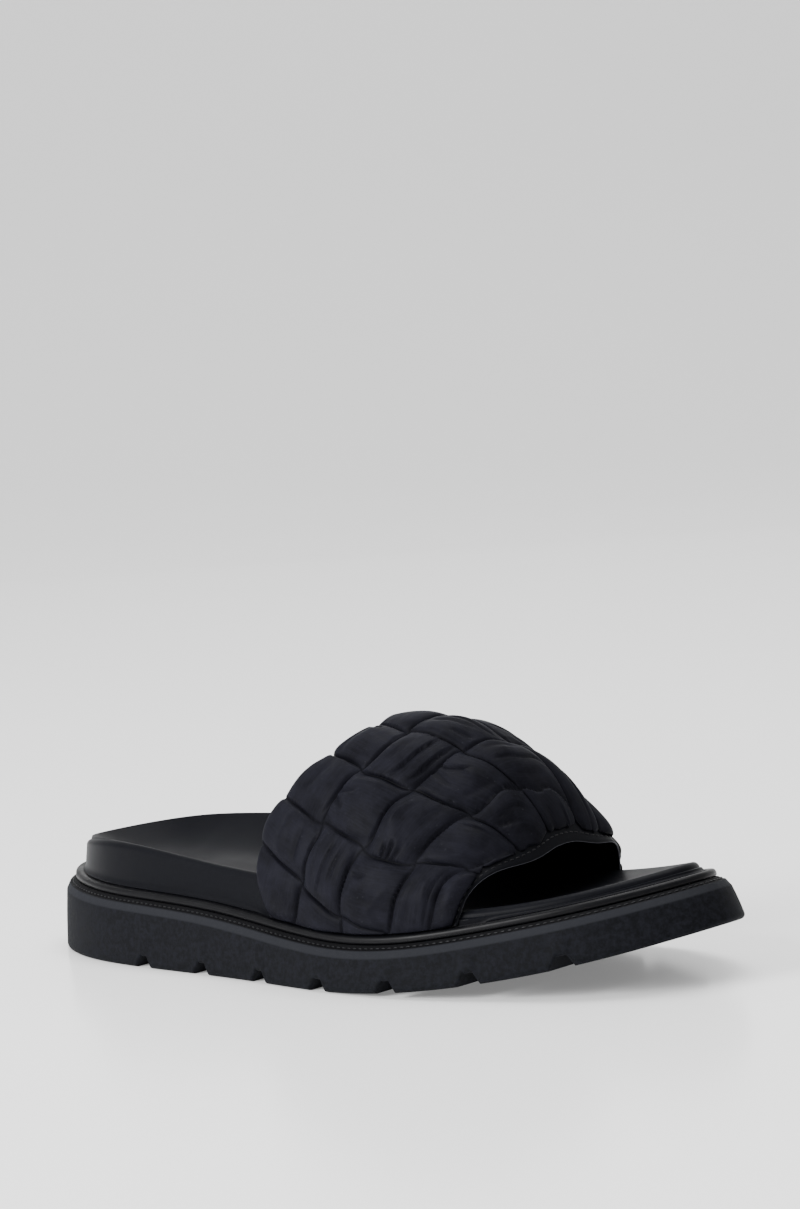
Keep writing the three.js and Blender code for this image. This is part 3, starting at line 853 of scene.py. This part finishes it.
def section_path(x, lining, steps=260):
    """Points evenly along one section at x. Each half is a cubic: its first handle stands on
    the seat, leaning by its angle, as high as full times the rise, and its second lies level
    with the crown, full times the half width away from it. The lining first runs close to
    the footbed's wall from the seat up to the rim."""
    at = x / SOLE_LENGTH
    crown, ridge, full_out, full_in, lean_out, lean_in = (f(at) for f in section_of)
    depth = BAND_WALL if lining else 0.0
    peak = np.array([BALL_WIDTH * ridge, INSTEP_HEIGHT * crown - depth])
    halves = []
    for side, full, lean in ((-1, full_out, lean_out), (1, full_in, lean_in)):
        wall = FOOTBED_INSET - CLEARANCE if lining else BASE_INSET
        start = np.array([inset_across(x, side, wall), band_seat(x)])
        runs = []
        if lining:
            rim = np.array([inset_across(x, side, wall + FOOTBED_LEAN), rim_at(x, side > 0)])
            runs.append(start + (rim - start) * np.linspace(0, 1, 40)[:, None])
            start = rim
        rise = full * (peak[1] - start[1])
        first = start + [-side * math.tan(math.radians(lean)) * rise, rise]
        second = np.array([peak[0] + full * (start[0] - peak[0]), peak[1]])
        t = np.linspace(0, 1, 160)[:, None]
        runs.append(start * (1 - t) ** 3 + 3 * first * t * (1 - t) ** 2
                    + 3 * second * t ** 2 * (1 - t) + peak * t ** 3)
        halves.append(np.concatenate(runs))
    line = np.concatenate([halves[0], halves[1][::-1]])
    way = way_along(line)
    return read_along(line, way, np.linspace(0, way[-1], steps + 1))


class Shell:
    """A face of the band as a table of sections, read between its entries in straight lines."""

    def __init__(self, lining):
        self.x = np.linspace(0.43 * SOLE_LENGTH, 0.812 * SOLE_LENGTH, 150)
        self.table = np.array([section_path(x, lining) for x in self.x])
        run = np.gradient(self.table, axis=1)
        size = np.linalg.norm(run, axis=-1, keepdims=True)
        self.inward = np.stack([run[..., 1], -run[..., 0]], -1) / size
        self.gap = None

    def measure(self, inner):
        """Distance from each entry of this face to the nearest point of the inner one."""
        away = [
            np.linalg.norm(line[:, None] - other[None], axis=-1).min(1)
            for line, other in zip(self.table, inner.table)
        ]
        self.gap = np.array(away)[..., None]

    def read(self, table, x, round_):
        """What a table holds at x and a share of the girth."""
        i = np.interp(x, self.x, np.arange(len(self.x)))
        j = np.clip(round_, 0, 1) * (table.shape[1] - 1)
        i0 = np.clip(i.astype(int), 0, len(self.x) - 2)
        j0 = np.clip(j.astype(int), 0, table.shape[1] - 2)
        a, b = (i - i0)[..., None], (j - j0)[..., None]
        return ((table[i0, j0] * (1 - a) + table[i0 + 1, j0] * a) * (1 - b)
                + (table[i0, j0 + 1] * (1 - a) + table[i0 + 1, j0 + 1] * a) * b)

    def at(self, x, round_, depth):
        """Point at x and a share of the girth, moved inwards by depth."""
        flat = self.read(self.table, x, round_)
        flat = flat + self.read(self.inward, x, round_) * depth[..., None]
        return sprung(x, flat[..., 0], np.maximum(flat[..., 1], band_seat(x)))


outer_shell = Shell(lining=False)
lining_shell = Shell(lining=True)
outer_shell.measure(lining_shell)


def leather_at(round_):
    """Thickness of the lining, a share of the band's wall: that is thin at its seats, and
    whole from a small share of the girth on."""
    growth = np.minimum(np.minimum(round_, 1 - round_) / SEAT_SHARE, 1)
    return LINING * (SEAT_WALL + (BAND_WALL - SEAT_WALL) * growth) / BAND_WALL


def evenly(along, row):
    """Place of a crossing of the even weave:
    x = from + pitch along + slant row - crowding along squared and
    girth share = start + per along + per row + per both along row + bend along squared."""
    x = (CROSSING_FROM * SOLE_LENGTH + STRAP_PITCH * along + STRAP_SLANT * row
         - STRAP_CROWDING * along ** 2)
    round_ = (CROSSING_START + PER_ALONG * along + PER_ROW * row + PER_BOTH * along * row
              + PER_BEND * along ** 2)
    return x, round_


def nudged(x, round_):
    """Shift of the weave at a point: the pads' own shifts, each weighted by a bell curve of
    its distance, over the sum of those weights and a fade that lets far ones die out."""
    home_x, home_round = evenly(NUDGES[:, 0], NUDGES[:, 1])
    home_x, home_round = home_x + NUDGES[:, 2], home_round + NUDGES[:, 3]
    weight = np.exp(-(((x[..., None] - home_x) / NUDGE_REACH) ** 2)
                    - ((round_[..., None] - home_round) / NUDGE_GIRTH) ** 2)
    total = weight.sum(-1) + NUDGE_FADE
    return (weight @ NUDGES[:, 2]) / total, (weight @ NUDGES[:, 3]) / total


def crossing_at(x, round_):
    """Crossing numbers (along, row) at a point of the band, by Newton's method on the two
    formulas of evenly()."""
    ahead, up = nudged(x, round_)
    x, round_ = x - ahead, round_ - up
    row = (round_ - CROSSING_START) / PER_ROW
    along = (x - CROSSING_FROM * SOLE_LENGTH - STRAP_SLANT * row) / STRAP_PITCH
    for _ in range(8):
        there_x, there_round = evenly(along, row)
        miss_x, miss_round = there_x - x, there_round - round_
        x_along = STRAP_PITCH - 2 * STRAP_CROWDING * along
        round_along = PER_ALONG + PER_BOTH * row + 2 * PER_BEND * along
        round_row = PER_ROW + PER_BOTH * along
        area = x_along * round_row - STRAP_SLANT * round_along
        along = along - (miss_x * round_row - miss_round * STRAP_SLANT) / area
        row = row - (miss_round * x_along - miss_x * round_along) / area
    return along, row


def weave(along, row):
    """Relief of the weave over its backing, the cloth's own place across and along a strap,
    and its shade from 0 to 1. Each strap is a pad that waves over and under: as high as
    STRAP_PAD times the root of 1 less its place across to the power 2.6. The higher of the
    two at a point shows, with a tuck where they are level. Pleats that deepen towards the
    ends of a cell, a small tilt of each pad's own and the creases come on top."""
    near_along, near_row = np.round(along), np.round(row)

    def own(which):
        """A fixed number from 0 to 1 for each pad."""
        mix = near_along * 12.9898 + near_row * 78.233 + which * 37.719
        return (np.sin(mix) * 43758.5453) % 1.0

    def pad(offset):
        return STRAP_PAD * np.maximum(1 - (2 * np.abs(offset) / STRAP_SHARE) ** 2.6, 0) ** 0.5

    round_strap = pad(along - near_along) + STRAP_WAVE * np.cos(np.pi * (row + near_along))
    long_strap = pad(row - near_row) - STRAP_WAVE * np.cos(np.pi * (along + near_row))
    on_round = round_strap >= long_strap
    offset = np.where(on_round, along - near_along, row - near_row)
    run = np.where(on_round, row - near_row, along - near_along)
    towards_end = eased(np.abs(run), 0.12, 0.5)
    pleats = np.zeros(np.shape(along))
    for k in range(3):
        count = PLEATS_ACROSS * (1 + 0.6 * k) * (0.8 + 0.4 * own(k + 5))
        drift = 0.35 * (own(k + 9) - 0.5) * run
        pleats += np.sin(2 * np.pi * (count * (offset + drift) + own(k))) / (1 + 0.7 * k)
    side = eased(STRAP_SHARE / 2 - np.abs(offset), 0.0, 0.12)
    relief = np.logaddexp(CORNER_HARDNESS * np.maximum(round_strap, long_strap),
                          CORNER_HARDNESS * CORNER_FILL) / CORNER_HARDNESS
    tuck = np.exp(-np.abs(round_strap - long_strap) / TUCK_WIDTH)
    relief = relief - TUCK_DEPTH * tuck
    relief = relief + PLEAT_DEPTH * pleats * side * (0.18 + 0.82 * towards_end)
    # Painted shade: 1 in the tuck where two straps are level, and up to HOLLOW_SHADE where the
    # relief is low
    shade = np.maximum(tuck, HOLLOW_SHADE * (1 - eased(relief, *HOLLOW_SPAN)))
    settled = PAD_TILT * (own(20) - 0.5) * offset + PAD_LIFT * (own(21) - 0.5)
    relief = relief + settled * side
    for a0, r0, a1, r1, width, depth, fold in CREASES:
        home = np.round((a0 + a1) / 2), np.round((r0 + r1) / 2)
        mine = (near_along == home[0]) & (near_row == home[1])
        da, dr = a1 - a0, r1 - r0
        share = ((along - a0) * da + (row - r0) * dr) / (da * da + dr * dr)
        aside = ((along - a0) * dr - (row - r0) * da) / math.hypot(da, dr) * CREASE_CELL
        away = np.abs(aside)
        soft = np.exp(-((away / width) ** 2))
        steep = np.where(aside > 0, np.exp(-away / (1.8 * width)),
                         np.exp(-((away / (0.3 * width)) ** 2)))
        ends = eased(share, -0.08, 0.25) * (1 - eased(share, 0.7, 1.12))
        dent = np.where(mine, CREASE_DEEPER * depth * (steep if fold else soft) * ends, 0)
        relief = relief - dent
        # Painted shade in a crease, by its depth
        shade = np.maximum(shade, np.clip(0.5 * dent, 0, CREASE_SHADE))
    across = offset * CLOTH_CELL + NEXT_STRAP * np.where(on_round, near_along, near_row)
    lengthwise = np.where(on_round, row, along) * CLOTH_CELL + LONG_STRAPS * on_round
    return relief, across, lengthwise, shade


def build_straps():
    """Padded satin face of the band. A closed loop in the foot's direction, over the top,
    round a rolled edge and back underneath, is carried over the foot from seat to seat."""
    rows = 401
    top_steps, roll_steps, under_steps = 176, 9, 16
    behind_rear, behind_front, roll = 0.2, 1.0, 2.4
    over_lining, pad_sink, least_body = 0.1, 0.7, 0.2
    seat_turn, seat_reach, girth = 1.1, 1.5, 170
    edge_swell, level_relief = 0.45, 3.6
    round_ = np.linspace(0, 1, rows)
    from_seat = np.minimum(round_, 1 - round_)
    turns = np.linspace(0, np.pi, roll_steps + 2)[1:-1]
    columns = []

    def column(x, under, rolled):
        """under: share of the thickness the point lies below; rolled: share of the relief.
        The face sinks where the relief is low, stands proud where the band is thin, turns in
        at its seats and stays clear of its own underside."""
        relief, across, lengthwise, shade = weave(*crossing_at(x, round_))
        thick = outer_shell.read(outer_shell.gap, x, round_)[..., 0] - LINING - over_lining
        sink = STRAP_PAD + pad_sink - relief
        sink = sink * (0.7 + 0.3 * eased(from_seat, 0, 0.12)) * rolled
        thin = np.clip(BAND_WALL - 0.4 - LINING - thick, 0, 2)
        proud = 0.5 * thin * eased(from_seat, 0.01, 0.08)
        sink = sink - proud * np.clip(relief / 4, 0, 1) * rolled
        sink = sink + seat_turn * np.exp(-from_seat * girth / seat_reach) * (under < 0.5)
        most = thick - least_body
        sink = np.where(sink > 0, most * np.tanh(np.maximum(sink, 0) / most), sink)
        depth = sink * (1 - under) + thick * under
        columns.append((outer_shell.at(x, round_, depth), across, lengthwise, shade * rolled))

    def pulled(edge_x, sign):
        """The edge draws in at the grooves between straps, and swells over each strap."""
        relief = weave(*crossing_at(edge_x - sign * 1.5, round_))[0]
        return edge_x + sign * edge_swell * (relief - level_relief)

    front_edge = pulled(band_front(round_) - behind_front, 1)
    rear_edge = pulled(band_rear(round_) - behind_rear, -1)
    for share in np.linspace(0, 1, top_steps):
        column(rear_edge + roll + (front_edge - rear_edge - 2 * roll) * share, 0.0, 1.0)
    for turn in turns:
        column(front_edge - roll + roll * np.sin(turn), 0.5 * (1 - np.cos(turn)), 1.0)
    for share in np.linspace(0, 1, under_steps):
        column(front_edge - roll + (rear_edge - front_edge + 2 * roll) * share, 1.0, 0.0)
    for turn in turns:
        column(rear_edge + roll - roll * np.sin(turn), 0.5 * (1 + np.cos(turn)), 1.0)
    # fold is the painted shade of the grooves, hollows and creases, which the satin darkens by
    points, across, lengthwise, fold = (np.stack(part, 1) for part in zip(*columns))
    faces = loop_faces(rows, len(columns), top_steps + roll_steps)
    uv = np.stack([across, lengthwise], -1).reshape(-1, 2)
    return mesh_piece("woven_satin_straps", points.reshape(-1, 3), faces, uv=uv,
                      facts={"fold": fold})


def end_strip(start, top, loop):
    """Triangles that close one end of a thin loop: its upper run meets its lower run, which
    goes the other way with fewer points."""
    upper = range(start, start + top)
    lower = range(start + loop - 1, start + top - 1, -1)
    last_a, last_b = len(upper) - 1, len(lower) - 1
    faces = []
    a = b = 0
    while a < last_a or b < last_b:
        if b == last_b or (a < last_a and a / last_a <= b / last_b):
            faces.append((upper[a], upper[a + 1], lower[b]))
            a += 1
        else:
            faces.append((upper[a], lower[b + 1], lower[b]))
            b += 1
    return faces


def loop_faces(rows, loop, top):
    """Faces of a thin loop carried through rows, with both its ends closed."""
    faces = list(net_faces(rows, loop, close_cols=True)[:, ::-1])
    last = end_strip((rows - 1) * loop, top, loop)
    return faces + end_strip(0, top, loop) + [face[::-1] for face in last]


def lining_x(share, round_, rear_gap, front_gap):
    """x at a share of the way from the band's rear edge to its front one, each moved on."""
    rear = band_rear(round_) + rear_gap
    return rear + (band_front(round_) + front_gap - rear) * share


def build_lining():
    """Leather lining: a closed loop in the foot's direction with turned edges, from seat to
    seat, lying against the footbed's wall and then following the arch of the band."""
    rows = 241
    face_steps, turn_steps = 60, 6
    round_ = np.linspace(0, 1, rows)
    leather = leather_at(round_)
    half = LINING / 2
    rear, front = LINING_SHORT + half, LINING_PROUD - half
    turns = np.linspace(0, np.pi, turn_steps + 2)[1:-1]
    columns = []

    def column(x, out):
        columns.append(lining_shell.at(x, round_, -leather * out))

    for share in np.linspace(0, 1, face_steps):
        column(lining_x(share, round_, rear, front), 1.0)
    for turn in turns:
        column(lining_x(1, round_, 0, front + half * math.sin(turn)), 0.5 * (1 + math.cos(turn)))
    for share in np.linspace(1, 0, face_steps):
        column(lining_x(share, round_, rear, front), 0.0)
    for turn in turns:
        column(lining_x(0, round_, rear - half * math.sin(turn), 0), 0.5 * (1 - math.cos(turn)))
    upper = face_steps + turn_steps
    # Painted highlight along the turned front edge, read by the leather as the edge attribute
    painted_edge_highlight = np.zeros((rows, len(columns)))
    painted_edge_highlight[:, upper - turn_steps // 2:upper] = 1
    return mesh_piece("band_lining", np.stack(columns, 1).reshape(-1, 3),
                      loop_faces(rows, len(columns), upper), facts={"edge": painted_edge_highlight}, sharp=50)


# Stitches

def stitch_row(name, path, up, pitch, length, radius, sunk):
    """Short threads laid along a path, one every pitch, each a little askew and bent down at
    its ends. Each is a row of circles, whose radius follows the square root of 1 less the
    fourth power of their place."""
    way = way_along(path)
    count = int(way[-1] // pitch)
    centres = (np.arange(count) + 0.5) * way[-1] / count
    here = read_along(path, way, centres)
    run = read_along(path, way, centres + 0.5) - read_along(path, way, centres - 0.5)
    run /= np.linalg.norm(run, axis=1, keepdims=True)
    lift = read_along(up, way, centres)
    aside = np.cross(run, lift)
    aside /= np.linalg.norm(aside, axis=1, keepdims=True)
    lift = np.cross(aside, run)
    run = run + 0.1 * aside
    rings, sides = 7, 8
    along = np.linspace(-1, 1, rings)
    turn = np.linspace(0, 2 * np.pi, sides, endpoint=False)
    wide = np.sqrt(np.maximum(1 - along ** 4, 0.0))
    dip = -0.6 * along ** 2
    template = np.stack([
        np.repeat(along, sides) * length / 2,
        np.outer(wide, np.cos(turn)).ravel() * radius,
        np.outer(wide, np.sin(turn)).ravel() * radius + np.repeat(dip, sides) * radius - sunk,
    ], -1)
    points = (here[:, None] + template[None, :, 0:1] * run[:, None]
              + template[None, :, 1:2] * aside[:, None] + template[None, :, 2:3] * lift[:, None])
    single = net_faces(rings, sides, close_cols=True)
    faces = (single + rings * sides * np.arange(count)[:, None, None]).reshape(-1, 4)
    piece = mesh_piece(name, points.reshape(-1, 3), faces)
    return merged(piece, 1e-6, turn_out=True)


def welt_stitches():
    """Stitches in the channel of the slope, standing square to it."""
    angle = np.linspace(0, 2 * np.pi, 1500)
    edge = WALL_DRAFT + BEVEL_WIDTH
    base = wall_top(on_outline(angle)[0]) + BEVEL_HEIGHT + 0.62
    path = sprung(*inset_point(angle, edge + 0.95), base)
    path_up = sprung(*inset_point(angle, edge + 0.6), base + 1) - path
    return stitch_row("welt_stitches", path, path_up,
                      pitch=2.2, length=1.6, radius=0.24, sunk=0.12)


def lining_stitches():
    """Stitches that show on the lining, just behind the band's front line."""
    behind_front, seat_gap = 0.65, 0.012
    round_ = np.linspace(seat_gap, 1 - seat_gap, 900)
    x = band_front(round_) - behind_front
    leather = leather_at(round_)
    path = lining_shell.at(x, round_, -leather)
    path_up = lining_shell.at(x, round_, -leather - 1) - path
    return stitch_row("lining_stitches", path, path_up,
                      pitch=2.4, length=1.7, radius=0.2, sunk=0.06)


finished(build_outsole(), "sole_foam", foam, "outsole")
finished(build_welt(), "welt_bead", bead, "welt")
finished(build_footbed(), "footbed_leather", footbed_leather, "footbed")
straps = finished(build_straps(), "strap_satin", satin, "upper")
finished(build_lining(), "footbed_leather", lining_leather)
finished(welt_stitches(), "welt_bead", thread)
finished(lining_stitches(), "footbed_leather", thread)


# Stage, lamps and camera

def stage_sheet():
    """Floor that curves up behind the shoe into a backdrop, far larger than the view."""
    rows, cols, radius = 40, 9, 1200.0
    near, far, wide, high = -2500, 1800, 4000, 3500
    curve_from, curve_to = 0.35, 0.65
    azimuth = math.radians(41)
    t = np.linspace(0, 1, rows)
    turn = np.clip((t - curve_from) / (curve_to - curve_from), 0, 1) * np.pi / 2
    run = np.where(t < curve_from, near + t / curve_from * (far - near),
                   far + radius * np.sin(turn))
    rise = np.where(t < curve_to, radius * (1 - np.cos(turn)),
                    radius + (t - curve_to) / (1 - curve_to) * high)
    away = np.array([-math.sin(azimuth), math.cos(azimuth), 0])
    across = np.array([away[1], -away[0], 0])
    points = run[:, None, None] * away + np.linspace(-wide, wide, cols)[:, None] * across
    points = points + rise[:, None, None] * np.array([0, 0, 1]) - SHIFT
    faces = net_faces(rows, cols)[:, ::-1]
    piece = mesh_piece("studio_sheet", points.reshape(-1, 3), faces)
    piece.data.materials.append(studio_paper())


def lamp(name, place, aim_height, size, power):
    """White soft box: a rectangular area lamp at place, turned to a point above the middle of
    the shoe's floor, in metres."""
    light = bpy.data.lights.new(name, "AREA")
    light.shape = "RECTANGLE"
    light.size, light.size_y = size
    light.energy = power
    way = Vector((0, 0, aim_height)) - Vector(place)
    turned = way.to_track_quat("-Z", "Y").to_matrix().to_4x4()
    put(name, light).matrix_world = Matrix.Translation(place) @ turned


def backwards(azimuth, elevation):
    """Direction from a target to a camera that stands at azimuth and elevation, in degrees."""
    az, el = math.radians(azimuth), math.radians(elevation)
    return np.array([math.sin(az) * math.cos(el), -math.cos(az) * math.cos(el), math.sin(el)])


def photo_camera():
    """The photograph's view: turned by azimuth and elevation about a target on the shoe,
    then by small turns of its own, with the focal length in pixels of the frame."""
    azimuth, elevation, distance, focal = 41.173, 9.1, 1106.711, 3535.715
    turn, nod, roll = -0.689, -4.404, -4.144
    frame_height, film = 1209, 36.0
    target = np.array([131.0, 0.0, 25.0])
    eye = placed(target + backwards(azimuth, elevation) * distance)
    behind = backwards(azimuth + turn, elevation + nod)
    az = math.radians(azimuth + turn)
    right = np.array([math.cos(az), math.sin(az), 0.0])
    above = np.cross(behind, right)
    c, s = math.cos(math.radians(roll)), math.sin(math.radians(roll))
    right, above = right * c + above * s, above * c - right * s
    lens = bpy.data.cameras.new("photo_camera")
    lens.sensor_width = lens.sensor_height = film
    lens.lens = focal / frame_height * film
    lens.clip_start, lens.clip_end = 0.05, 30.0
    camera = put("photo_camera", lens)
    pose = np.eye(4)
    pose[:3] = np.stack([right, above, behind, eye], 1)
    camera.matrix_world = Matrix(pose.tolist())
    bpy.context.scene.camera = camera


def studio():
    """A white dome and three soft boxes over the sheet."""
    stage_sheet()
    world = bpy.data.worlds.new("studio_air")
    world.use_nodes = True
    air = world.node_tree.nodes["Background"]
    air.inputs["Color"].default_value = tone("#ffffff")
    air.inputs["Strength"].default_value = 0.65
    bpy.context.scene.world = world
    lamp("top_box", (0.05, 0.25, 1.5), 0.0, (1.4, 0.9), 26)
    lamp("back_box", (-0.9, 1.3, 1.0), 0.05, (1.2, 1.0), 4)
    lamp("front_box", (-0.5, -1.5, 0.8), 0.04, (0.9, 0.9), 60)


studio()
photo_camera()
